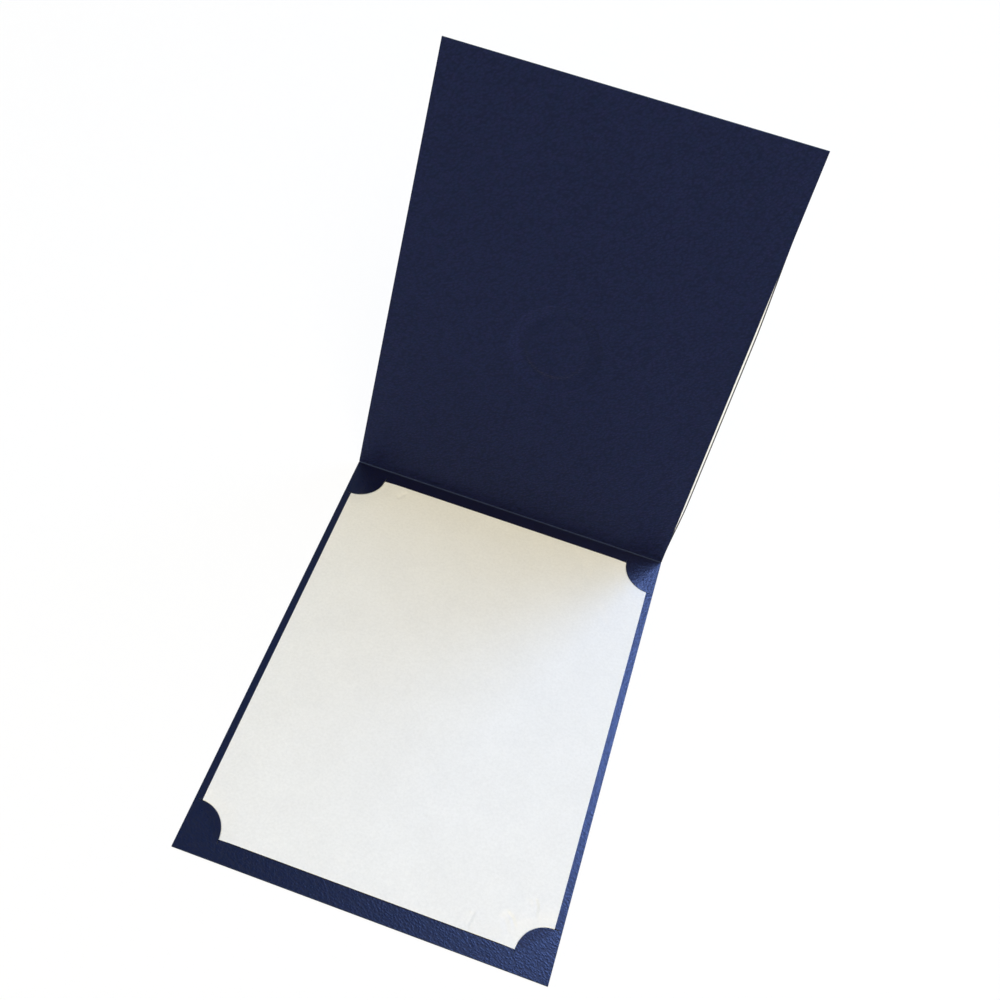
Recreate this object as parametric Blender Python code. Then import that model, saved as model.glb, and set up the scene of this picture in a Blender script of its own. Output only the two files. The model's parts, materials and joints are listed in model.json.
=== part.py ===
"""Certificate holder: a folder of two-ply card, hinged along the certificate's top edge, standing open.

Metres. The origin is the middle of the back cover's underside. +Z is up, +Y points to the fold and
+X to the right of someone who reads the certificate.
"""
import math

import bmesh
import bpy
from mathutils import Matrix, Vector

# The certificate, a letter-size sheet
SHEET_WIDTH = 0.2159
SHEET_LENGTH = 0.2794
SHEET_THICKNESS = 0.00015

# Borders of the inside panel round the sheet
SIDE_MARGIN = 0.00475
FOLD_MARGIN = 0.0094
FRONT_MARGIN = 0.0128

# Card plies, and the clear gap between layers that touch
PLY = 0.0004
LAYER_GAP = 0.00015

# The fold: how far its axis lies above the inside panel, how far the cover is open at rest, and how
# far the liner's edge keeps back from the axis
FOLD_CLEARANCE = 0.00055
OPEN_ANGLE = math.radians(106.5)
LINER_SETBACK = 0.0002
CREASE_STEPS = 12

# Corner slits: round the sheet's corners, cut so that a tongue of card stays over the sheet
TAB_RADIUS = 0.018
SLIT_WIDTH = 0.001
SLIT_EDGE_LAND = 0.0015
SLIT_STEPS = 16

# Adhesive lines between the plies
GLUE_EDGE_INSET = 0.0008
GLUE_TO_SHEET = 0.001
GLUE_SKIN_GAP = 0.0001
GLUE_END_GAP = 0.0005
COVER_GLUE_WIDTH = 0.006

# The round seal pressed into the cover's two plies
SEAL_FROM_FOLD = 0.1335
SEAL_OUTER_RADIUS = 0.030
SEAL_INNER_RADIUS = 0.022
SEAL_SLOPE = 0.002
SEAL_DEPTH = 0.00015
SEAL_STEPS = 48

# Outline of the two halves
PANEL_WIDTH = SHEET_WIDTH + 2 * SIDE_MARGIN
PANEL_LENGTH = SHEET_LENGTH + FOLD_MARGIN + FRONT_MARGIN
HALF_WIDTH = PANEL_WIDTH / 2
FRONT_Y = -PANEL_LENGTH / 2
FOLD_Y = PANEL_LENGTH / 2
SHEET_FRONT_Y = FRONT_Y + FRONT_MARGIN
SHEET_FOLD_Y = FOLD_Y - FOLD_MARGIN

# Levels of the layers above the table, the same in both halves when the cover lies open flat
PLY_SPACE = SHEET_THICKNESS + 2 * LAYER_GAP
PANEL_BOTTOM = PLY + PLY_SPACE
PANEL_TOP = PANEL_BOTTOM + PLY
SHEET_LOW = PLY + LAYER_GAP
SHEET_HIGH = PANEL_TOP + LAYER_GAP
FOLD_Z = PANEL_TOP + FOLD_CLEARANCE
GLUE_BOTTOM = PLY + GLUE_SKIN_GAP
GLUE_THICKNESS = PLY_SPACE - 2 * GLUE_SKIN_GAP

# The slit's outer radius, and the hinge line of the tabs between the slit's two ends
SLIT_RADIUS = TAB_RADIUS + SLIT_WIDTH
SLIT_OVERRUN = SIDE_MARGIN - SLIT_EDGE_LAND
SLIT_REACH = math.sqrt(SLIT_RADIUS ** 2 - SLIT_OVERRUN ** 2)
HINGE_GAP = LAYER_GAP
HINGE_DISTANCE = (SLIT_REACH - SLIT_OVERRUN) / math.sqrt(2) + HINGE_GAP / 2

NAVY = (0.016, 0.026, 0.085)
NAVY_OUTER = (0.014, 0.022, 0.075)
CREASE_NAVY = (0.020, 0.028, 0.080)
PAPER_WHITE = (0.80, 0.79, 0.76)
GLUE_CLEAR = (0.72, 0.68, 0.56)


def clear_scene():
    for thing in list(bpy.data.objects):
        bpy.data.objects.remove(thing, do_unlink=True)


def principled(name, colour, roughness):
    """One Principled material with the piece's colour and roughness."""
    material = bpy.data.materials.new(name)
    material.use_nodes = True
    shader = material.node_tree.nodes["Principled BSDF"]
    shader.inputs["Base Color"].default_value = (*colour, 1.0)
    shader.inputs["Roughness"].default_value = roughness
    shader.inputs["Metallic"].default_value = 0.0
    return material


def add_object(name, mesh, colour, roughness, parent=None):
    """Puts a mesh in the scene as one named piece with its own material."""
    piece = bpy.data.objects.new(name, mesh)
    bpy.context.collection.objects.link(piece)
    piece.data.materials.clear()
    piece.data.materials.append(principled(name + "_finish", colour, roughness))
    piece.parent = parent
    return piece


def finish_mesh(name, shape):
    """Turns a bmesh into a mesh with its faces pointing out, shaded smooth round the curves."""
    bmesh.ops.recalc_face_normals(shape, faces=shape.faces)
    mesh = bpy.data.meshes.new(name)
    shape.to_mesh(mesh)
    shape.free()
    mesh.shade_smooth()
    mesh.set_sharp_from_angle(angle=math.radians(35))
    return mesh


def thicken(shape, thickness):
    """Extrudes a flat or draped skin straight up into a closed layer."""
    grown = bmesh.ops.extrude_face_region(shape, geom=list(shape.faces))
    upper = [item for item in grown["geom"] if isinstance(item, bmesh.types.BMVert)]
    bmesh.ops.translate(shape, verts=upper, vec=(0, 0, thickness))


def add_loop(shape, points, z):
    """Adds a closed loop of edges through points and returns its vertices and edges."""
    verts = [shape.verts.new((x, y, z)) for x, y in points]
    edges = [shape.edges.new((verts[i - 1], verts[i])) for i in range(len(verts))]
    return verts, edges


def rectangle(x_low, x_high, y_low, y_high):
    return [(x_low, y_low), (x_high, y_low), (x_high, y_high), (x_low, y_high)]


def circle(centre_y, radius):
    turns = [2 * math.pi * i / SEAL_STEPS for i in range(SEAL_STEPS)]
    return [(radius * math.cos(t), centre_y + radius * math.sin(t)) for t in turns]


def segment(radius, chord_y):
    """Outline of the part of a disc beyond a chord; the chord's y is counted from the tab's hinge
    line, and the disc's centre, the sheet's corner, lies HINGE_DISTANCE behind that line."""
    half_angle = math.acos((HINGE_DISTANCE + chord_y) / radius)
    points = []
    for i in range(SLIT_STEPS + 1):
        turn = half_angle * (2 * i / SLIT_STEPS - 1)
        points.append((-radius * math.sin(turn), radius * math.cos(turn) - HINGE_DISTANCE))
    return points


def corners():
    """The four corners: a name, the sheet's corner, and the turn about Z that points a tab's +Y
    from that corner to the middle of the sheet."""
    for side_name, side in (("left", -1), ("right", 1)):
        for end_name, y, end in (("front", SHEET_FRONT_Y, -1), ("fold", SHEET_FOLD_Y, 1)):
            inward = math.atan2(-end, -side)
            yield f"{end_name}_{side_name}", Vector((side * SHEET_WIDTH / 2, y, 0)), inward - math.pi / 2


def tab_frame(corner, turn):
    """Places a tab's own frame: its origin on the hinge line, its +Y towards the sheet's middle."""
    return Matrix.Translation(corner) @ Matrix.Rotation(turn, 4, "Z") @ Matrix.Translation((0, HINGE_DISTANCE, 0))


def layer_from_loops(name, outline, holes, z, thickness):
    """A flat layer with its outline and holes given as lists of points."""
    shape = bmesh.new()
    _, edges = add_loop(shape, outline, z)
    for hole in holes:
        edges += add_loop(shape, hole, z)[1]
    bmesh.ops.triangle_fill(shape, use_beauty=True, use_dissolve=False, edges=edges)
    thicken(shape, thickness)
    return finish_mesh(name, shape)


def plain_strip(name, x_low, x_high, y_low, y_high, z, thickness):
    return layer_from_loops(name, rectangle(x_low, x_high, y_low, y_high), [], z, thickness)


def outline_point(point, y_low, y_high):
    """Where the line from the seal's centre through a point of its ring meets the ply's outline."""
    along = Vector((point.x, point.y - SEAL_FROM_FOLD))
    room = y_high - SEAL_FROM_FOLD if along.y > 0 else SEAL_FROM_FOLD - y_low
    stretch = 1 / max(abs(along.x) / HALF_WIDTH, abs(along.y) / room)
    return along.x * stretch, SEAL_FROM_FOLD + along.y * stretch


def sealed_ply(name, y_low, y_high, z):
    """A ply of the cover with the ring of the seal pressed towards its outer side."""
    shape = bmesh.new()
    steps = [
        (SEAL_OUTER_RADIUS + SEAL_SLOPE / 2, z),
        (SEAL_OUTER_RADIUS - SEAL_SLOPE / 2, z - SEAL_DEPTH),
        (SEAL_INNER_RADIUS + SEAL_SLOPE / 2, z - SEAL_DEPTH),
        (SEAL_INNER_RADIUS - SEAL_SLOPE / 2, z),
    ]
    rings = []
    for radius, level in steps:
        rings.append([shape.verts.new((*point, level)) for point in circle(SEAL_FROM_FOLD, radius)])
    rim = [shape.verts.new((*outline_point(vert.co, y_low, y_high), z)) for vert in rings[0]]
    for i in range(SEAL_STEPS):
        start, end = rim[i - 1], rim[i]
        face = [rings[0][i - 1], start, end, rings[0][i]]
        if min(abs(start.co.x - end.co.x), abs(start.co.y - end.co.y)) > 1e-6:
            nearer, farther = sorted((start, end), key=lambda vert: abs(vert.co.x))
            face.insert(2, shape.verts.new((farther.co.x, nearer.co.y, z)))
        shape.faces.new(face)
        for outer, inner in zip(rings, rings[1:]):
            shape.faces.new((inner[i - 1], outer[i - 1], outer[i], inner[i]))
    shape.faces.new(rings[-1])
    thicken(shape, PLY)
    return finish_mesh(name, shape)


def certificate():
    """The sheet: flat over the panel, with each corner stepping down through its slit."""
    shape = bmesh.new()
    middle_loop = []
    for name in ("front_left", "front_right", "fold_right", "fold_left"):
        corner, turn = next((point, angle) for label, point, angle in corners() if label == name)
        start = turn + math.pi / 4
        angles = [start + math.pi / 2 * i / SLIT_STEPS for i in range(SLIT_STEPS + 1)]
        aims = [Vector((math.cos(a), math.sin(a), 0)) for a in angles]
        tip = shape.verts.new((corner.x, corner.y, SHEET_LOW))
        low = [shape.verts.new(corner + aim * TAB_RADIUS + Vector((0, 0, SHEET_LOW))) for aim in aims]
        high = [shape.verts.new(corner + aim * SLIT_RADIUS + Vector((0, 0, SHEET_HIGH))) for aim in aims]
        shape.faces.new([tip] + low)
        for i in range(SLIT_STEPS):
            shape.faces.new((low[i], high[i], high[i + 1], low[i + 1]))
        middle_loop += reversed(high)
    shape.faces.new(middle_loop)
    bmesh.ops.recalc_face_normals(shape, faces=shape.faces)
    thicken(shape, SHEET_THICKNESS)
    return finish_mesh("certificate_sheet", shape)


def crease():
    """The creased strip of the outer card, turned round the fold from the back cover to the cover."""
    shape = bmesh.new()
    half_gap = LAYER_GAP / 2 / (FOLD_Z - PLY / 2)
    sweep = math.pi - OPEN_ANGLE - 2 * half_gap
    x_low, x_high = -HALF_WIDTH, HALF_WIDTH
    profile = [(x_low, -FOLD_Z), (x_high, -FOLD_Z), (x_high, PLY - FOLD_Z), (x_low, PLY - FOLD_Z)]
    start = Matrix.Rotation(half_gap, 4, "X")
    face = shape.faces.new([shape.verts.new(start @ Vector((x, 0, z))) for x, z in profile])
    bmesh.ops.spin(shape, geom=[face, *face.edges, *face.verts], cent=(0, 0, 0), axis=(1, 0, 0),
                   angle=sweep, steps=CREASE_STEPS, use_duplicate=False)
    return finish_mesh("fold_crease", shape)


def build_base():
    """The half that lies on the table, its certificate and the adhesive between its plies."""
    ply_edge = FOLD_Y - LAYER_GAP / 2
    back = plain_strip("back_cover", -HALF_WIDTH, HALF_WIDTH, FRONT_Y, ply_edge, 0, PLY)
    add_object("back_cover", back, NAVY_OUTER, 0.62)

    holes = []
    for _, corner, turn in corners():
        frame = tab_frame(corner, turn)
        holes.append([tuple((frame @ Vector((x, y, 0))).xy) for x, y in segment(SLIT_RADIUS, -HINGE_GAP / 2)])
    outline = rectangle(-HALF_WIDTH, HALF_WIDTH, FRONT_Y, FOLD_Y)
    panel = layer_from_loops("inside_panel", outline, holes, PANEL_BOTTOM, PLY)
    add_object("inside_panel", panel, NAVY, 0.58)

    add_object("certificate_sheet", certificate(), PAPER_WHITE, 0.75)

    side_outer = HALF_WIDTH - GLUE_EDGE_INSET
    side_inner = SHEET_WIDTH / 2 + GLUE_TO_SHEET
    front_inner = SHEET_FRONT_Y - GLUE_TO_SHEET
    fold_inner = SHEET_FOLD_Y + GLUE_TO_SHEET
    strips = {
        "glue_strip_front": (-side_outer, side_outer, FRONT_Y + GLUE_EDGE_INSET, front_inner),
        "glue_strip_fold": (-side_outer, side_outer, fold_inner, FOLD_Y - GLUE_EDGE_INSET),
        "glue_strip_left": (-side_outer, -side_inner, front_inner + GLUE_END_GAP, fold_inner - GLUE_END_GAP),
        "glue_strip_right": (side_inner, side_outer, front_inner + GLUE_END_GAP, fold_inner - GLUE_END_GAP),
    }
    for name, bounds in strips.items():
        add_object(name, plain_strip(name, *bounds, GLUE_BOTTOM, GLUE_THICKNESS), GLUE_CLEAR, 0.4)


def build_tabs():
    """The four tongues of card over the sheet's corners, each with its origin on its hinge line."""
    tongue = layer_from_loops("corner_tab", segment(TAB_RADIUS, HINGE_GAP / 2), [], -PLY / 2, PLY)
    for name, corner, turn in corners():
        tab = add_object("corner_tab_" + name, tongue.copy(), NAVY, 0.58)
        tab.location = tab_frame(corner, turn).translation + Vector((0, 0, PANEL_BOTTOM + PLY / 2))
        tab.rotation_euler = (0, 0, turn)


def build_cover():
    """The front cover, drawn open flat about the fold and then turned up to its rest angle."""
    axis = bpy.data.objects.new("cover_fold_axis", None)
    bpy.context.collection.objects.link(axis)
    axis.location = (0, FOLD_Y, FOLD_Z)
    axis.rotation_euler = (math.pi - OPEN_ANGLE, 0, 0)

    outer = sealed_ply("front_cover", LAYER_GAP / 2, PANEL_LENGTH, -FOLD_Z)
    add_object("front_cover", outer, NAVY_OUTER, 0.62, axis)
    liner = sealed_ply("front_liner", LINER_SETBACK, PANEL_LENGTH, PANEL_BOTTOM - FOLD_Z)
    add_object("front_liner", liner, NAVY, 0.58, axis)

    side = HALF_WIDTH - GLUE_EDGE_INSET
    fold_end = LINER_SETBACK + GLUE_EDGE_INSET + COVER_GLUE_WIDTH
    far_end = PANEL_LENGTH - GLUE_EDGE_INSET - COVER_GLUE_WIDTH
    strips = {
        "cover_glue_fold": (-side, side, fold_end - COVER_GLUE_WIDTH, fold_end),
        "cover_glue_far_edge": (-side, side, far_end, far_end + COVER_GLUE_WIDTH),
        "cover_glue_left": (-side, COVER_GLUE_WIDTH - side, fold_end + GLUE_END_GAP, far_end - GLUE_END_GAP),
    }
    for name, bounds in strips.items():
        strip = plain_strip(name, *bounds, GLUE_BOTTOM - FOLD_Z, GLUE_THICKNESS)
        add_object(name, strip, GLUE_CLEAR, 0.4, axis)


def build_crease():
    crease_strip = add_object("fold_crease", crease(), CREASE_NAVY, 0.55)
    crease_strip.location = (0, FOLD_Y, FOLD_Z)


clear_scene()
build_base()
build_tabs()
build_cover()
build_crease()
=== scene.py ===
import json
import math

import bpy
from mathutils import Matrix, Vector
from mathutils.geometry import delaunay_2d_cdt


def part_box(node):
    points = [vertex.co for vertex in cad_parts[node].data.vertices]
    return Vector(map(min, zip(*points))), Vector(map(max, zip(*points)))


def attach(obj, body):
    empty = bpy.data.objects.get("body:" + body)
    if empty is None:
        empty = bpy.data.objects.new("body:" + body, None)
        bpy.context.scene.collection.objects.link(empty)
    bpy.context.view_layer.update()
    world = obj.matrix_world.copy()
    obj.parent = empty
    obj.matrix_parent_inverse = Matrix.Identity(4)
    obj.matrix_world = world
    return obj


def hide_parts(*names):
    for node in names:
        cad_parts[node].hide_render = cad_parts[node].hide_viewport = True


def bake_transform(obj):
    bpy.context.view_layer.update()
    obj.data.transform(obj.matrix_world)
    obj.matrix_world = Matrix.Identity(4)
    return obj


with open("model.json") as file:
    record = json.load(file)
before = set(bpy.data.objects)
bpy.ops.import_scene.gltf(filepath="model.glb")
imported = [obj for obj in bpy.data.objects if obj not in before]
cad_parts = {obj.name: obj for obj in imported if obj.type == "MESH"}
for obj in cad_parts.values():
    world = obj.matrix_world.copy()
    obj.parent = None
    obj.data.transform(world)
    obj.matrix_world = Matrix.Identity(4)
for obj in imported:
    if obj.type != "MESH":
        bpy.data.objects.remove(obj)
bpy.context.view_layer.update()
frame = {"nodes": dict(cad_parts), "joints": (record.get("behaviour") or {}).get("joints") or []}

MM = 0.001

# Levels and outlines of the CAD nodes, in millimetres, and the cover's own frame, which has the
# fold as origin, Y up the cover and Z toward the reader
JOINTS = {joint["name"]: joint for joint in frame["joints"]}
PANEL_LOW, PANEL_HIGH = [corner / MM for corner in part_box("inside_panel")]
SHEET_LOW, SHEET_HIGH = [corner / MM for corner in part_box("certificate_sheet")]
BACK_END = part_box("back_cover")[1].y / MM
FOLD = Vector(JOINTS["cover_fold"]["pos_m"]) / MM
PLY = PANEL_HIGH.z - PANEL_LOW.z
HALF_WIDTH = PANEL_HIGH.x
PANEL_LENGTH = PANEL_HIGH.y - PANEL_LOW.y
OPEN_ANGLE = -JOINTS["cover_fold"]["range_deg"][0]
COVER_TURN = math.radians(180 - OPEN_ANGLE)
COVER_FRAME = Matrix.Translation(FOLD * MM) @ Matrix.Rotation(COVER_TURN, 4, "X")
LINER_TOP = PANEL_HIGH.z - FOLD.z
LINER_START = 0.2
COVER_TOP = PLY - FOLD.z
COVER_START = 0.075

# Corner slits and tabs: the slits' outer radius and width, the lift of a tab's tip and its reach
CORNER_TABS = ("front_left", "front_right", "fold_left", "fold_right")
SLIT_RADIUS = 18.85
SLIT_WIDTH = 0.6
TAB_LIFT = 0.42
TAB_REACH = 7.25
ARC_STEPS = 40

# The floor: how much of it the camera and reflections see as plain white, and its profile as
# radius and height in metres, from the middle of the disc up the far wall
FLOOR_WHITENESS = 0.93
FLOOR_PROFILE = [(4.0, 0.0), (4.6, 0.15), (4.9, 0.6), (5.0, 1.2), (5.0, 3.5)]
FLOOR_SEGMENTS = 64
FLOOR_DROP = 0.00002

# The certificate: its thickness, the spacing of its mesh, how far it lies below the panel's underside
# beneath a tab, how far about a corner the mesh has rings and the sheet sinks to its slit, and its
# even slack over the panel
SHEET_PLY = 0.15
SHEET_STEP = 3.0
UNDER_TAB = 0.05
RINGS_REACH = SLIT_RADIUS + 6
SINK_REACH = SLIT_RADIUS + 9
SLACK = 0.30

# The pressed ring on the cover; its painted side light is how much lighter its left is painted than its
# middle, a painted highlight
RING_CENTRE = 133.5
RING_OUTER = 31.0
RING_VALLEY = 22.0
RING_INNER = 18.0
LINER_RING_DEPTH = 0.80
COVER_RING_DEPTH = 0.62
RING_PAINTED_SIDE_LIGHT = 0.24
RING_STEPS = 96

# The strip of the cover's outer ply that stands out past the liner at the right edge: how far, and
# the heights up the cover over which it grows and fades
LIP_REACH = 1.85
LIP_GROWS = (2.0, 55.0)
LIP_FADES = (175.0, 260.0)

# Roundings of the cut edges of card and of paper
CARD_BEVEL = 0.06
PAPER_BEVEL = 0.03
SHARP_ANGLE = math.radians(35)


def add_node(tree, kind, values=None, **settings):
    """Adds a shader node; values are numbers for its sockets or the sockets that feed them."""
    node = tree.nodes.new(kind)
    for name, value in settings.items():
        setattr(node, name, value)
    for name, value in (values or {}).items():
        if isinstance(value, bpy.types.NodeSocket):
            tree.links.new(value, node.inputs[name])
        else:
            node.inputs[name].default_value = value
    return node


def new_material(name, roughness, specular, tint=(1.0, 1.0, 1.0)):
    material = bpy.data.materials.new(name)
    material.use_nodes = True
    shader = material.node_tree.nodes["Principled BSDF"]
    shader.inputs["Roughness"].default_value = roughness
    shader.inputs["Specular IOR Level"].default_value = specular
    shader.inputs["Specular Tint"].default_value = (*tint, 1.0)
    return material, material.node_tree, shader


def scaled(tree, factor, low, high, from_low=0.0, from_high=1.0, interpolation="LINEAR"):
    return add_node(tree, "ShaderNodeMapRange", {
        "Value": factor, "From Min": from_low, "From Max": from_high, "To Min": low, "To Max": high,
    }, interpolation_type=interpolation).outputs["Result"]


def computed(tree, operation, *values):
    """A number worked out from others."""
    node = add_node(tree, "ShaderNodeMath", dict(enumerate(values)), operation=operation)
    return node.outputs["Value"]


def tinted(tree, colour, factor):
    """A colour multiplied by a number that varies over the surface."""
    node = add_node(tree, "ShaderNodeVectorMath", {0: colour, "Scale": factor}, operation="SCALE")
    return node.outputs["Vector"]


def noise(tree, here, scale, detail, roughness=0.5):
    return add_node(tree, "ShaderNodeTexNoise", {
        "Vector": here, "Scale": scale, "Detail": detail, "Roughness": roughness,
    })


def add_bump(tree, shader, height, strength, distance):
    bump = add_node(tree, "ShaderNodeBump", {"Height": height, "Strength": strength, "Distance": distance})
    tree.links.new(bump.outputs["Normal"], shader.inputs["Normal"])


def grain(tree, angle):
    """Height of the pressed leather grain, 0 in its creases to 1 on its pebbles, and its coordinates."""
    here = add_node(tree, "ShaderNodeTexCoord").outputs["Object"]
    along = add_node(tree, "ShaderNodeMapping", {
        "Vector": here, "Rotation": (0, 0, math.radians(angle)), "Scale": (1.7, 1.0, 1.0),
    }, vector_type="TEXTURE").outputs["Vector"]
    wander = noise(tree, here, 420.0, 1.0)
    moved = add_node(tree, "ShaderNodeVectorMath", {
        0: wander.outputs["Color"], 1: (0.0009, 0.0009, 0.0009), 2: along,
    }, operation="MULTIPLY_ADD").outputs["Vector"]
    cells = add_node(tree, "ShaderNodeTexVoronoi", {
        "Vector": moved, "Scale": 830.0, "Smoothness": 0.5, "Randomness": 1.0,
    }, feature="SMOOTH_F1").outputs["Distance"]
    pebbles = scaled(tree, cells, 1.0, 0.0, 0.1, 0.75)
    fine = noise(tree, moved, 2600.0, 2.0)
    height = add_node(tree, "ShaderNodeMix", {"Factor": 0.25, "A": pebbles, "B": fine.outputs["Fac"]})
    return height.outputs["Result"], here


def ring_painted_shading(tree, here):
    """Tone of the pressed ring, painted light and shade: painted shade darkens its inner slope and valley,
    and a painted highlight lightens its rim and its left side.
    """
    flat = add_node(tree, "ShaderNodeVectorMath", {
        0: here, 1: (1.0, 1.0, 0.0), 2: (0.0, -RING_CENTRE * MM, 0.0),
    }, operation="MULTIPLY_ADD").outputs["Vector"]
    radius = add_node(tree, "ShaderNodeVectorMath", {0: flat}, operation="LENGTH").outputs["Value"]
    ramp = add_node(tree, "ShaderNodeValToRGB", {"Fac": scaled(tree, radius, 0.0, 1.0, 0.0, 0.04)})
    ramp.color_ramp.interpolation = "EASE"
    first, last = ramp.color_ramp.elements
    first.color = last.color = (0.5, 0.5, 0.5, 1.0)
    # Painted shade on the inner slope and valley (levels below 0.5), a painted highlight on the rim (0.59)
    marks = ((0.42, 0.5), (0.48, 0.44), (0.54, 0.45), (0.64, 0.51), (0.74, 0.5), (0.762, 0.59), (0.79, 0.5))
    for place, level in marks:
        ramp.color_ramp.elements.new(place).color = (level, level, level, 1.0)
    valley_rim_painted_shade = scaled(tree, ramp.outputs["Color"], 0.0, 2.0)
    # Painted side light: the ring's left painted lighter and its right darker, within its band
    painted_side_light = add_node(tree, "ShaderNodeVectorMath", {
        0: flat, 1: (-RING_PAINTED_SIDE_LIGHT / (RING_OUTER * MM), 0.0, 0.0),
    }, operation="DOT_PRODUCT").outputs["Value"]
    for low, high, start, end in ((0.0, 1.0, 0.020, 0.026), (1.0, 0.0, 0.0300, 0.0312)):
        painted_side_light = computed(tree, "MULTIPLY", painted_side_light, scaled(tree, radius, low, high, start, end, "SMOOTHSTEP"))
    return computed(tree, "MULTIPLY_ADD", painted_side_light, valley_rim_painted_shade, valley_rim_painted_shade)


def card(name, colour, violet, angle, gloss, tint, relief, roughness=0.32, ring=False):
    """Navy card with pressed leather grain, its tone and hue drifting a little over the surface."""
    material, tree, shader = new_material(name, roughness, gloss, tint)
    height, here = grain(tree, angle)
    drift = noise(tree, here, 190.0, 3.0)
    violets = scaled(tree, drift.outputs["Fac"], 0.0, 1.0, 0.3, 0.7)
    hue = add_node(tree, "ShaderNodeMix", {
        "Factor": violets, "A": (*colour, 1.0), "B": (*violet, 1.0),
    }, data_type="RGBA").outputs["Result"]
    clouds = noise(tree, here, 22.0, 2.0)
    pebble_tone = scaled(tree, height, 0.50, 1.50)
    tone = computed(tree, "MULTIPLY", pebble_tone, scaled(tree, clouds.outputs["Fac"], 0.90, 1.10))
    # For the liner: the pressed ring's painted shade and painted highlight, multiplied into the grain's
    # tone
    if ring:
        tone = computed(tree, "MULTIPLY", tone, ring_painted_shading(tree, here))
    tree.links.new(tinted(tree, hue, tone), shader.inputs["Base Color"])
    tree.links.new(scaled(tree, height, roughness + 0.06, roughness - 0.06), shader.inputs["Roughness"])
    add_bump(tree, shader, height, 0.9, relief)
    return material


def pulp(name, colour, roughness, fibre, relief):
    """Uncoated paper or board: fine fibres, soft clouds and a faint tooth."""
    material, tree, shader = new_material(name, roughness, 0.2)
    here = add_node(tree, "ShaderNodeTexCoord").outputs["Object"]
    fibres = noise(tree, here, 640.0, 4.0, 0.6).outputs["Fac"]
    clouds = noise(tree, here, 34.0, 3.0).outputs["Fac"]
    mottle = noise(tree, here, 310.0, 2.0, 0.7).outputs["Fac"]
    fibre_tone = scaled(tree, fibres, 1.0 - fibre, 1.0 + fibre, 0.25, 0.75)
    tone = computed(tree, "MULTIPLY", fibre_tone, scaled(tree, clouds, 0.985, 1.015, 0.3, 0.7))
    tree.links.new(tinted(tree, colour, tone), shader.inputs["Base Color"])
    tooth = add_node(tree, "ShaderNodeMix", {"Factor": 0.6, "A": fibres, "B": mottle})
    add_bump(tree, shader, tooth.outputs["Result"], 0.8, relief)
    return material


def adhesive(name):
    """Dried clear adhesive, a little uneven in tone and gloss."""
    material, tree, shader = new_material(name, 0.4, 0.4)
    here = add_node(tree, "ShaderNodeTexCoord").outputs["Object"]
    beads = noise(tree, here, 260.0, 3.0).outputs["Fac"]
    tone = scaled(tree, beads, 0.85, 1.1, 0.3, 0.7)
    tree.links.new(tinted(tree, (0.72, 0.68, 0.56), tone), shader.inputs["Base Color"])
    tree.links.new(scaled(tree, beads, 0.3, 0.5), shader.inputs["Roughness"])
    shader.inputs["Transmission Weight"].default_value = 0.97
    add_bump(tree, shader, beads, 0.4, 0.0001)
    return material


def open_edge_board(name, pale, dark):
    """The cover's inner face: pale board beside its open right edge, with a dark rim, and painted dark
    navy elsewhere, where it lies between the plies: painted shade."""
    material = pulp(name, pale, 0.85, 0.05, 0.00002)
    tree = material.node_tree
    shader = tree.nodes["Principled BSDF"]
    here = add_node(tree, "ShaderNodeTexCoord").outputs["Object"]
    place = add_node(tree, "ShaderNodeSeparateXYZ", {"Vector": here})
    across, along = place.outputs["X"], place.outputs["Y"]
    inner = scaled(tree, across, 0.0, 1.0, 0.106, 0.108)
    start, end = [height * MM for height in LIP_GROWS]
    grows = scaled(tree, along, 0.0, LIP_REACH * MM, start, end, "SMOOTHSTEP")
    start, end = [height * MM for height in LIP_FADES]
    fades = scaled(tree, along, 1.0, 0.0, start, end, "SMOOTHSTEP")
    stands = computed(tree, "MULTIPLY", grows, fades)
    rim = scaled(tree, computed(tree, "SUBTRACT", across, stands), 1.0, 0.0, 0.1119, 0.1121)
    below = scaled(tree, along, 1.0, 0.0, 0.286, 0.290)
    shown = computed(tree, "MULTIPLY", computed(tree, "MULTIPLY", inner, rim), below)
    plain = shader.inputs["Base Color"].links[0].from_socket
    # Outside the strip beside the open edge the face is painted dark: painted shade between the plies
    mixed = add_node(tree, "ShaderNodeMix", {
        "Factor": shown, "A": (*dark, 1.0), "B": plain,
    }, data_type="RGBA")
    tree.links.new(mixed.outputs["Result"], shader.inputs["Base Color"])
    return material


def triangulate(loops, inner=(), is_hole=None):
    """Triangles over an outline and its holes, in millimetres, with corners at the inner points too."""
    points, edges = [], []
    for loop in loops:
        start = len(points)
        points += [Vector(point) for point in loop]
        edges += [(start + i, start + (i + 1) % len(loop)) for i in range(len(loop))]
    points += [Vector(point) for point in inner]
    verts, _, faces, *_ = delaunay_2d_cdt(points, edges, [], 1, 1e-5)
    kept = []
    for face in faces:
        centre = sum((verts[i] for i in face), Vector((0, 0))) / len(face)
        if is_hole is None or not is_hole(centre):
            kept.append(face)
    return verts, kept


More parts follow.
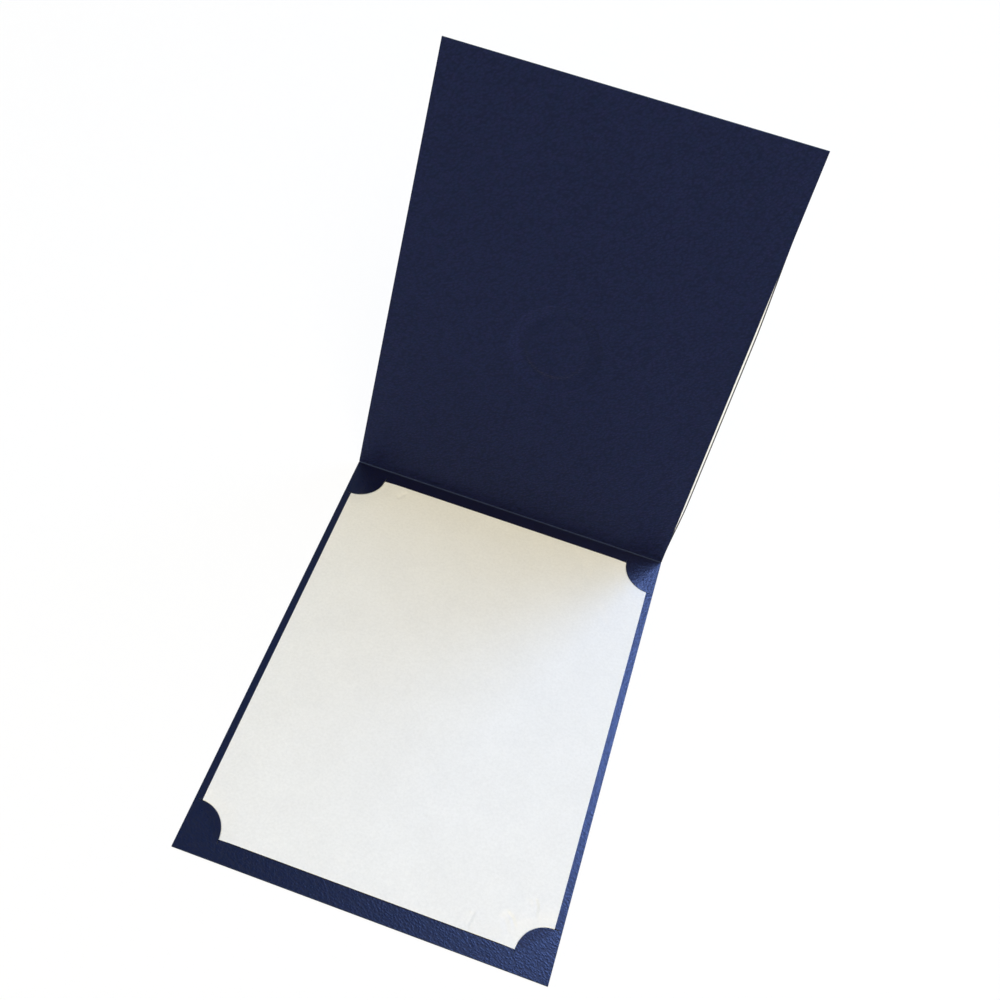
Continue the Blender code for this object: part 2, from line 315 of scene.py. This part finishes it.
def layer(name, loops, top, thickness, materials, inner=(), is_hole=None, plain_edge=None, place=None):
    """A closed layer of sheet material under the height field top(x, y); its cut edges have the third
    material and a small bevel, apart from where plain_edge says no."""
    flat, faces = triangulate(loops, inner, is_hole)
    heights = [top(x, y) for x, y in flat]
    count = len(flat)
    verts = [(x * MM, y * MM, z * MM) for (x, y), z in zip(flat, heights)]
    verts += [(x * MM, y * MM, (z - thickness) * MM) for (x, y), z in zip(flat, heights)]
    upper, rim = [], {}
    for a, b, c in faces:
        cross = (flat[b] - flat[a]).cross(flat[c] - flat[a])
        face = (a, b, c) if cross > 0 else (a, c, b)
        upper.append(face)
        for start, end in zip(face, face[1:] + face[:1]):
            if (end, start) in rim:
                del rim[end, start]
            else:
                rim[start, end] = True
    lower = [tuple(i + count for i in reversed(face)) for face in upper]
    sides = [(start, start + count, end + count, end) for start, end in rim]
    mesh = bpy.data.meshes.new(name)
    mesh.from_pydata(verts, [], upper + lower + sides)
    for material in materials:
        mesh.materials.append(material)
    slots = [0] * len(upper) + [1] * len(lower) + [2] * len(sides)
    mesh.polygons.foreach_set("material_index", slots)
    mesh.validate()
    mesh.shade_smooth()
    weights = mesh.attributes.new("bevel_weight_edge", "FLOAT", "EDGE")
    for edge in mesh.edges:
        a, b = edge.vertices
        on_rim = (a % count, b % count) in rim or (b % count, a % count) in rim
        level = (a < count) == (b < count)
        bevelled = on_rim and level and not (plain_edge and plain_edge(flat[a % count], flat[b % count]))
        weights.data[edge.index].value = 1.0 if bevelled else 0.0
    piece = bpy.data.objects.new(name, mesh)
    bpy.context.scene.collection.objects.link(piece)
    if place is not None:
        piece.matrix_world = place
    return piece


def finish_edges(piece, width, segments=2):
    """Rounds the cut edges of a layer a little and keeps them crisp in shading."""
    bevel = piece.modifiers.new("cut_edges", "BEVEL")
    bevel.limit_method = "WEIGHT"
    bevel.width = width * MM
    bevel.segments = segments
    bevel.harden_normals = True
    piece.data.set_sharp_from_angle(angle=SHARP_ANGLE)


def corner_of(label):
    """The sheet's corner at a tab, the direction from it to the sheet's middle, and how far the tab's
    hinge line lies along that direction, in millimetres."""
    end, side = label.split("_")
    corner = Vector((SHEET_HIGH.x if side == "right" else SHEET_LOW.x,
                     SHEET_HIGH.y if end == "fold" else SHEET_LOW.y))
    hinge = Vector(JOINTS["tab_lift_" + label]["pos_m"][:2]) / MM
    return corner, (hinge - corner).normalized(), (hinge - corner).length


CORNERS = {label: corner_of(label) for label in CORNER_TABS}


def tab_point(label, across, beyond):
    """A point given by its place along a tab's hinge line and its distance beyond the line."""
    corner, inward, reach = CORNERS[label]
    return corner + inward * (reach + beyond) + Vector((-inward.y, inward.x)) * across


def arc(label, radius_at):
    """Points of a tab's or slit's round edge, from one end on the hinge line to the other."""
    reach = CORNERS[label][2]
    widest = math.acos(reach / radius_at(1.0))
    points = []
    for i in range(ARC_STEPS + 1):
        share = 2 * i / ARC_STEPS - 1
        radius = radius_at(abs(share))
        turn = share * widest
        points.append(tab_point(label, -radius * math.sin(turn), max(radius * math.cos(turn) - reach, 0.0)))
    return points


def slit_radius(_share):
    return SLIT_RADIUS


def tab_radius(share):
    return SLIT_RADIUS - SLIT_WIDTH * (1 - 0.6 * share ** 6)


def tab_lift(beyond):
    """How far the tab's card stands above the panel's level, growing from its hinge line."""
    return TAB_LIFT * (max(beyond, 0.0) / TAB_REACH) ** 1.3


def in_slit(point):
    for corner, inward, reach in CORNERS.values():
        away = point - corner
        if away.length < SLIT_RADIUS and away.dot(inward) > reach:
            return True
    return False


def on_hinge(a, b):
    """Whether an edge lies on one of the tabs' hinge lines."""
    return any(
        max(abs((a - corner).dot(inward) - reach), abs((b - corner).dot(inward) - reach)) < 0.01
        for corner, inward, reach in CORNERS.values()
    )


def smooth(value, low, high):
    share = min(max((value - low) / (high - low), 0.0), 1.0)
    return share * share * (3 - 2 * share)


# Creases of the sheet: the points of its line, half width and height, in millimetres
CREASES = [
    ([(74.0, -117.0), (81.5, -119.5), (86.0, -124.0), (88.5, -131.0)], 9.0, 0.32),
    ([(78.5, -119.5), (83.2, -122.0), (85.6, -126.0), (87.0, -131.5)], 1.2, -0.48),
    ([(76.0, -122.5), (79.8, -124.0), (82.3, -128.0), (83.6, -133.0)], 2.6, -0.48),
    ([(92.6, -106.0), (95.0, -111.0), (95.6, -117.5)], 7.0, 0.22),
    ([(92.6, -106.0), (95.0, -111.0), (95.6, -117.5)], 1.1, -0.46),
    ([(90.0, -108.0), (92.4, -113.0), (93.0, -118.0)], 2.4, -0.40),
    ([(62.0, -125.0), (61.2, -130.5), (60.4, -136.5)], 5.0, 0.22),
    ([(62.0, -125.0), (61.2, -130.5), (60.4, -136.5)], 1.1, -0.32),
    ([(59.8, -126.5), (58.8, -131.0), (58.0, -136.5)], 2.0, -0.28),
    ([(-75.9, 130.4), (-73.6, 134.6), (-71.4, 138.0)], 1.3, -0.28),
    ([(84.5, 138.0), (87.5, 127.0), (92.0, 111.0)], 2.2, -0.30),
    ([(63.5, 133.0), (65.4, 123.0), (67.6, 113.5)], 2.4, -0.26),
    ([(79.5, 101.0), (83.5, 93.0), (88.5, 84.0)], 2.6, -0.24),
]


def crease_rise(point, path, half_width, height):
    """Height of one crease at a point: full along the middle of its line and fading to its ends."""
    lengths = [(b - a).length for a, b in zip(path, path[1:])]
    total = sum(lengths)
    nearest, share = None, 0.0
    passed = 0.0
    for a, b, length in zip(path, path[1:], lengths):
        along = min(max((point - a).dot(b - a) / length, 0.0), length)
        away = (point - a - (b - a) * (along / length)).length
        if nearest is None or away < nearest:
            nearest, share = away, (passed + along) / total
        passed += length
    if nearest > 3 * half_width:
        return 0.0
    return height * math.exp(-(nearest / half_width) ** 2) * (1 - (2 * share - 1) ** 4)


def sheet_swell(x, y):
    """How far the sheet stands above its lowest level where it lies on the panel."""
    u = x / SHEET_HIGH.x
    v = (y - SHEET_LOW.y) / (SHEET_HIGH.y - SHEET_LOW.y) * 2 - 1
    dome = 0.22 * (1 - u * u) * (1 - 0.5 * v * v) + 0.10 * (1 - v * v)
    waves = 0.05 * math.sin(3.1 * u + 1.7 * v) + 0.04 * math.sin(5.3 * v - 2.2 * u + 0.6)
    swell = SLACK + dome + waves
    point = Vector((x, y))
    for path, half_width, height in CREASES:
        swell += crease_rise(point, [Vector(p) for p in path], half_width, height)
    return swell


def sheet_top(x, y):
    """The sheet's upper surface: over the panel, and stepping down under each corner tab."""
    level = SHEET_HIGH.z + sheet_swell(x, y)
    for corner, inward, reach in CORNERS.values():
        away = Vector((x, y)) - corner
        radius = away.length
        if radius < SINK_REACH:
            beyond = away.dot(inward) - reach
            under = PANEL_LOW.z - UNDER_TAB + tab_lift(beyond)
            over = PANEL_HIGH.z + SHEET_PLY + 0.02
            near = over + (level - over) * smooth(radius, SLIT_RADIUS, SINK_REACH)
            rise = min(max((radius - tab_radius(0.0)) / SLIT_WIDTH, 0.0), 1.0)
            level = under + (near - under) * rise
    return level


def clear_of_corners(point):
    """Whether a point lies beyond the rings of mesh points about the sheet's corners."""
    return all((point - corner).length > RINGS_REACH for corner, _, _ in CORNERS.values())


def sheet_points():
    """Inner points of the sheet's mesh: an even grid, and rings about the corner slits."""
    points = []
    columns = round((SHEET_HIGH.x - SHEET_LOW.x) / SHEET_STEP)
    rows = round((SHEET_HIGH.y - SHEET_LOW.y) / SHEET_STEP)
    for i in range(1, columns):
        for j in range(1, rows):
            x = SHEET_LOW.x + (SHEET_HIGH.x - SHEET_LOW.x) * i / columns
            y = SHEET_LOW.y + (SHEET_HIGH.y - SHEET_LOW.y) * j / rows
            if clear_of_corners(Vector((x, y))):
                points.append((x, y))
    for path, half_width, _ in CREASES:
        if half_width < SHEET_STEP:
            points += points_near(path, half_width)
    for radius in ring_radii():
        for corner, inward, _ in CORNERS.values():
            for i in range(1, ARC_STEPS):
                turn = math.radians(90 * i / ARC_STEPS - 45)
                points.append(corner + Matrix.Rotation(turn, 2) @ inward * radius)
    return points


def points_near(path, half_width):
    """A fine grid about one crease, kept off the sheet's edges, its corner rings and the even grid."""
    step = half_width / 2
    reach = 2.5 * half_width
    xs, ys = [x for x, _ in path], [y for _, y in path]
    lines = [(Vector(a), Vector(b)) for a, b in zip(path, path[1:])]
    points = []
    for i in range(int((max(xs) - min(xs) + 2 * reach) / step) + 1):
        for j in range(int((max(ys) - min(ys) + 2 * reach) / step) + 1):
            point = Vector((min(xs) - reach + i * step, min(ys) - reach + j * step))
            inside = all(
                SHEET_LOW[axis] + 1 < point[axis] < SHEET_HIGH[axis] - 1 for axis in range(2)
            )
            near = any((point - clamped(point, a, b)).length < reach for a, b in lines)
            if inside and near and clear_of_corners(point):
                points.append(point)
    return points


def clamped(point, a, b):
    """The point of the line from a to b that is nearest to a point."""
    along = min(max((point - a).dot(b - a) / (b - a).length_squared, 0.0), 1.0)
    return a + (b - a) * along


def ring_radii():
    inner = tab_radius(0.0)
    steps = [inner + SLIT_WIDTH * i / 3 for i in range(4)]
    return [10.0, 12.0, 14.0, 16.0, inner - 0.8] + steps + [SLIT_RADIUS + d for d in (0.7, 1.7, 3.0, 5.0)]


def sheet_outline():
    """The sheet's outline with points where the rings meet it and about every few millimetres between."""
    low, high = SHEET_LOW, SHEET_HIGH
    marks = [0.0] + ring_radii()

    def side(length):
        start, end = RINGS_REACH, length - RINGS_REACH
        count = round((end - start) / SHEET_STEP)
        middle = [start + (end - start) * i / count for i in range(count + 1)]
        return marks + middle + [length - mark for mark in reversed(marks) if mark > 0]

    points = [(low.x + d, low.y) for d in side(high.x - low.x)]
    points += [(high.x, low.y + d) for d in side(high.y - low.y)]
    points += [(high.x - d, high.y) for d in side(high.x - low.x)]
    points += [(low.x, high.y - d) for d in side(high.y - low.y)]
    return points


def build_sheet(paper):
    piece = layer("sheet_paper", [sheet_outline()], sheet_top, SHEET_PLY, [paper] * 3, sheet_points())
    finish_edges(piece, PAPER_BEVEL, 1)
    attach(piece, "base")
    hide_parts("certificate_sheet")
    return piece


def rectangle(x_low, x_high, y_low, y_high):
    return [(x_low, y_low), (x_high, y_low), (x_high, y_high), (x_low, y_high)]


def build_panel(materials):
    outline = rectangle(PANEL_LOW.x, PANEL_HIGH.x, PANEL_LOW.y, PANEL_HIGH.y)
    slits = [arc(label, slit_radius) for label in CORNER_TABS]
    piece = layer("panel_card", [outline, *slits], lambda x, y: PANEL_HIGH.z, PLY, materials,
                  is_hole=in_slit, plain_edge=on_hinge)
    finish_edges(piece, CARD_BEVEL)
    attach(piece, "base")
    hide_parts("inside_panel")


def build_tab(label, materials):
    """One corner tab, a tongue of the panel's card that bends up a little from its hinge line."""
    corner, inward, reach = CORNERS[label]
    inner = []
    for i in range(-17, 18):
        for j in range(0, 9):
            across, beyond = i * 0.85, j * 0.85
            radius = math.hypot(across, reach + beyond)
            if radius < tab_radius(0.0) - 0.45:
                inner.append(tab_point(label, across, beyond))

    def top(x, y):
        return PANEL_HIGH.z + tab_lift((Vector((x, y)) - corner).dot(inward) - reach)

    piece = layer("tab_" + label, [arc(label, tab_radius)], top, PLY, materials, inner, plain_edge=on_hinge)
    finish_edges(piece, CARD_BEVEL)
    start = Vector((*tab_point(label, 0, 0), PANEL_LOW.z)) * MM
    end = Vector((*tab_point(label, 0, TAB_REACH), PANEL_LOW.z)) * MM
    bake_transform(piece)
    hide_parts("corner_tab_" + label)


def ring_relief(depth):
    """Height of a cover ply: level, with the round seal pressed into it."""
    def relief(x, y):
        radius = math.hypot(x, y - RING_CENTRE)
        if radius >= RING_VALLEY:
            rim = 0.25 * smooth(-radius, -RING_OUTER, 1.8 - RING_OUTER)
            return -depth * (rim + 0.75 * smooth(-radius, -RING_OUTER, -RING_VALLEY))
        return -depth * smooth(radius, RING_INNER, RING_VALLEY)
    return relief


def ring_points():
    points = [(0.0, RING_CENTRE)]
    radii = [9.0, 14.0, 17.0, 18.0, 19.0, 20.0, 21.0, 22.0, 23.5, 25.0, 26.5]
    radii += [28.0, 29.2, 30.1, 30.4, 30.7, 31.0, 32.0]
    for radius in radii:
        for i in range(RING_STEPS):
            turn = 2 * math.pi * i / RING_STEPS
            points.append((radius * math.cos(turn), RING_CENTRE + radius * math.sin(turn)))
    return points


def lip(y):
    """How far the cover's outer ply stands out past the liner at its right edge."""
    return LIP_REACH * smooth(y, *LIP_GROWS) * (1 - smooth(y, *LIP_FADES))


def build_cover(outer_materials, liner_materials):
    relief = ring_relief(LINER_RING_DEPTH)
    outline = rectangle(-HALF_WIDTH, HALF_WIDTH, LINER_START, PANEL_LENGTH)
    liner = layer("liner_card", [outline], lambda x, y: LINER_TOP + relief(x, y), PLY, liner_materials,
                  ring_points(), place=COVER_FRAME)
    finish_edges(liner, CARD_BEVEL)
    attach(liner, "cover")
    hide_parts("front_liner")

    pressed = ring_relief(COVER_RING_DEPTH)
    heights = [COVER_START + (PANEL_LENGTH - COVER_START) * i / 60 for i in range(61)]
    outline = [(-HALF_WIDTH, heights[-1]), (-HALF_WIDTH, heights[0])]
    outline += [(HALF_WIDTH + lip(y), y) for y in heights]
    cover = layer("cover_card", [outline], lambda x, y: COVER_TOP + pressed(x, y), PLY, outer_materials,
                  ring_points(), place=COVER_FRAME)
    finish_edges(cover, CARD_BEVEL)
    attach(cover, "cover")
    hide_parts("front_cover")


def build_fold(outside, inside, edge):
    """The outer card's creased strip, from the back cover's end round the fold to the cover's start."""
    name = "fold_strip"
    steps = 18
    outer_radius = FOLD.z
    inner_radius = FOLD.z - PLY
    start = math.asin((FOLD.y - BACK_END) / outer_radius)
    sweep = COVER_TURN - COVER_START / outer_radius
    verts = []
    for i in range(steps + 1):
        turn = -start + (sweep + start) * i / steps
        for radius in (outer_radius, inner_radius):
            y = FOLD.y + radius * math.sin(turn)
            z = FOLD.z - radius * math.cos(turn)
            verts += [(-HALF_WIDTH * MM, y * MM, z * MM), (HALF_WIDTH * MM, y * MM, z * MM)]
    faces, slots = [], []
    for i in range(steps):
        a, b = 4 * i, 4 * i + 4
        faces += [(a, b, b + 1, a + 1), (a + 2, a + 3, b + 3, b + 2)]
        faces += [(a, a + 2, b + 2, b), (a + 1, b + 1, b + 3, a + 3)]
        slots += [0, 1, 2, 2]
    last = 4 * steps
    faces += [(0, 1, 3, 2), (last, last + 2, last + 3, last + 1)]
    slots += [2, 2]
    mesh = bpy.data.meshes.new(name)
    mesh.from_pydata(verts, [], faces)
    for material in (outside, inside, edge):
        mesh.materials.append(material)
    mesh.polygons.foreach_set("material_index", slots)
    mesh.validate()
    mesh.shade_smooth()
    mesh.set_sharp_from_angle(angle=SHARP_ANGLE)
    piece = bpy.data.objects.new(name, mesh)
    bpy.context.scene.collection.objects.link(piece)
    first, final = Vector(verts[0]), Vector(verts[last])
    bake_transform(piece)
    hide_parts("fold_crease")


def build_floor():
    """A pale floor that curves up into a far wall; what the camera and reflections see of it is
    nearly white, and it keeps the holder's shadow."""
    material, tree, shader = new_material("studio_paint", 0.9, 0.1)
    here = add_node(tree, "ShaderNodeTexCoord").outputs["Object"]
    tone = scaled(tree, noise(tree, here, 3.0, 2.0).outputs["Fac"], 0.95, 0.96)
    tree.links.new(tinted(tree, (1.0, 1.0, 1.0), tone), shader.inputs["Base Color"])
    rays = add_node(tree, "ShaderNodeLightPath")
    seen = rays.outputs["Is Camera Ray"]
    for kind in ("Is Glossy Ray", "Is Transmission Ray"):
        seen = computed(tree, "MAXIMUM", seen, rays.outputs[kind])
    white = add_node(tree, "ShaderNodeEmission", {"Color": (1.0, 1.0, 1.0, 1.0), "Strength": 1.0})
    blend = add_node(tree, "ShaderNodeMixShader", {"Fac": scaled(tree, seen, 0.0, FLOOR_WHITENESS)})
    tree.links.new(shader.outputs["BSDF"], blend.inputs[1])
    tree.links.new(white.outputs["Emission"], blend.inputs[2])
    tree.links.new(blend.outputs["Shader"], tree.nodes["Material Output"].inputs["Surface"])

    verts, faces = [(0.0, 0.0, 0.0)], []
    for radius, height in FLOOR_PROFILE:
        for i in range(FLOOR_SEGMENTS):
            turn = 2 * math.pi * i / FLOOR_SEGMENTS
            verts.append((radius * math.cos(turn), radius * math.sin(turn), height))
    for i in range(FLOOR_SEGMENTS):
        after = (i + 1) % FLOOR_SEGMENTS
        faces.append((0, 1 + i, 1 + after))
        for ring in range(len(FLOOR_PROFILE) - 1):
            low, high = 1 + ring * FLOOR_SEGMENTS, 1 + (ring + 1) * FLOOR_SEGMENTS
            faces.append((low + i, high + i, high + after, low + after))
    mesh = bpy.data.meshes.new("floor")
    mesh.from_pydata(verts, [], faces)
    mesh.shade_smooth()
    mesh.materials.append(material)
    floor = bpy.data.objects.new("floor", mesh)
    floor.location.z = -FLOOR_DROP
    bpy.context.scene.collection.objects.link(floor)


def add_lamp(name, direction, distance, width, height, power, colour):
    """A softbox that faces the middle of the holder."""
    data = bpy.data.lights.new(name, "AREA")
    data.shape = "RECTANGLE"
    data.size = width
    data.size_y = height
    data.energy = power
    data.color = colour
    lamp = bpy.data.objects.new(name, data)
    toward = Vector(direction).normalized()
    lamp.location = toward * distance + Vector((0, 0.03, 0.05))
    lamp.rotation_mode = "QUATERNION"
    lamp.rotation_quaternion = toward.to_track_quat("Z", "Y")
    bpy.context.scene.collection.objects.link(lamp)


def build_light():
    world = bpy.data.worlds.new("studio")
    bpy.context.scene.world = world
    world.use_nodes = True
    background = world.node_tree.nodes["Background"]
    background.inputs["Color"].default_value = (0.20, 0.55, 1.0, 1.0)
    background.inputs["Strength"].default_value = 0.28
    add_lamp("key_softbox", (0.316, 0.575, 0.755), 1.735, 0.40, 1.20, 19.3, (0.28, 0.50, 1.0))
    add_lamp("fill_softbox", (0.20, -0.58, 0.79), 5.0, 3.6, 3.6, 249.0, (1.0, 0.82, 0.45))
    add_lamp("side_softbox", (0.62, -0.70, 0.35), 1.6, 0.8, 0.8, 2.2, (0.60, 0.45, 1.0))


def build_camera():
    data = bpy.data.cameras.new("camera")
    data.sensor_width = 36.0
    data.lens = 43.4447
    data.shift_x = 0.05145
    data.shift_y = 0.00930
    data.clip_start = 0.01
    camera = bpy.data.objects.new("camera", data)
    camera.location = (0.04007, -0.36177, 0.68361)
    camera.rotation_euler = [math.radians(angle) for angle in (35.946, -6.6567, 18.2032)]
    bpy.context.scene.collection.objects.link(camera)
    bpy.context.scene.camera = camera


# Navy and a more violet navy of the cards, and their gloss and its tint
BASE_NAVY, BASE_VIOLET = (0.0005, 0.0015, 0.0155), (0.0014, 0.0012, 0.0165)
BASE_GLOSS, BASE_TINT = 0.92, (0.88, 0.78, 1.0)
LINER_NAVY, LINER_VIOLET = (0.0040, 0.0064, 0.0265), (0.0056, 0.0060, 0.0285)
LINER_GLOSS, LINER_TINT = 0.29, (0.33, 0.48, 1.0)
OUTER_NAVY, OUTER_VIOLET = (0.0040, 0.0064, 0.0265), (0.0056, 0.0060, 0.0285)
OUTER_GLOSS, OUTER_TINT = 0.30, (0.34, 0.48, 1.0)
PALE_BOARD = (0.76, 0.82, 0.95)
# The fold's pale inner face, painted dark blue-grey as it looks in shade: painted shade
FOLD_INSIDE_PAINTED_SHADE = (0.024, 0.038, 0.100)
# Near-black navy for the card's faces between and under the plies: painted shade
DARK_BOARD = (0.012, 0.014, 0.026)
CORE_TEAL = (0.020, 0.045, 0.075)
PAPER_WHITE = (0.785, 0.79, 0.79)

# Faces of the card between and under the plies, painted near-black: painted shade
dark_board = pulp("board_painted_shade", DARK_BOARD, 0.85, 0.1, 0.00002)
cover_board = open_edge_board("cover_inner_face", PALE_BOARD, DARK_BOARD)
# Inside of the fold strip: its pale face painted dark blue-grey, painted shade
fold_inside_painted_shade = pulp("fold_inside_painted_shade", FOLD_INSIDE_PAINTED_SHADE, 0.8, 0.25, 0.00004)
base_card = card("inside_card_grain", BASE_NAVY, BASE_VIOLET, -24, BASE_GLOSS, BASE_TINT, 0.00008)
# The liner's card carries the pressed ring's painted shade and painted highlight
liner_card = card("liner_card_grain", LINER_NAVY, LINER_VIOLET, 33, LINER_GLOSS, LINER_TINT, 0.00022,
                  ring=True)
outer_card = card("outer_card_grain", OUTER_NAVY, OUTER_VIOLET, 12, OUTER_GLOSS, OUTER_TINT, 0.00012)
core = pulp("board_cut_edge", CORE_TEAL, 0.7, 0.12, 0.00002)
paper = pulp("certificate_paper_pulp", PAPER_WHITE, 0.8, 0.045, 0.00012)
glue = adhesive("dried_adhesive")

build_camera()
build_light()
build_floor()
build_panel([base_card, dark_board, core])
for tab_label in CORNER_TABS:
    build_tab(tab_label, [base_card, dark_board, core])
build_sheet(paper)
build_cover([cover_board, outer_card, core], [liner_card, dark_board, core])
build_fold(outer_card, fold_inside_painted_shade, core)

back = frame["nodes"]["back_cover"]
back.data.materials.clear()
back.data.materials.append(outer_card)
for node_name, node in frame["nodes"].items():
    if "glue" in node_name:
        node.data.materials.clear()
        node.data.materials.append(glue)

bpy.context.scene.view_settings.view_transform = "Standard"
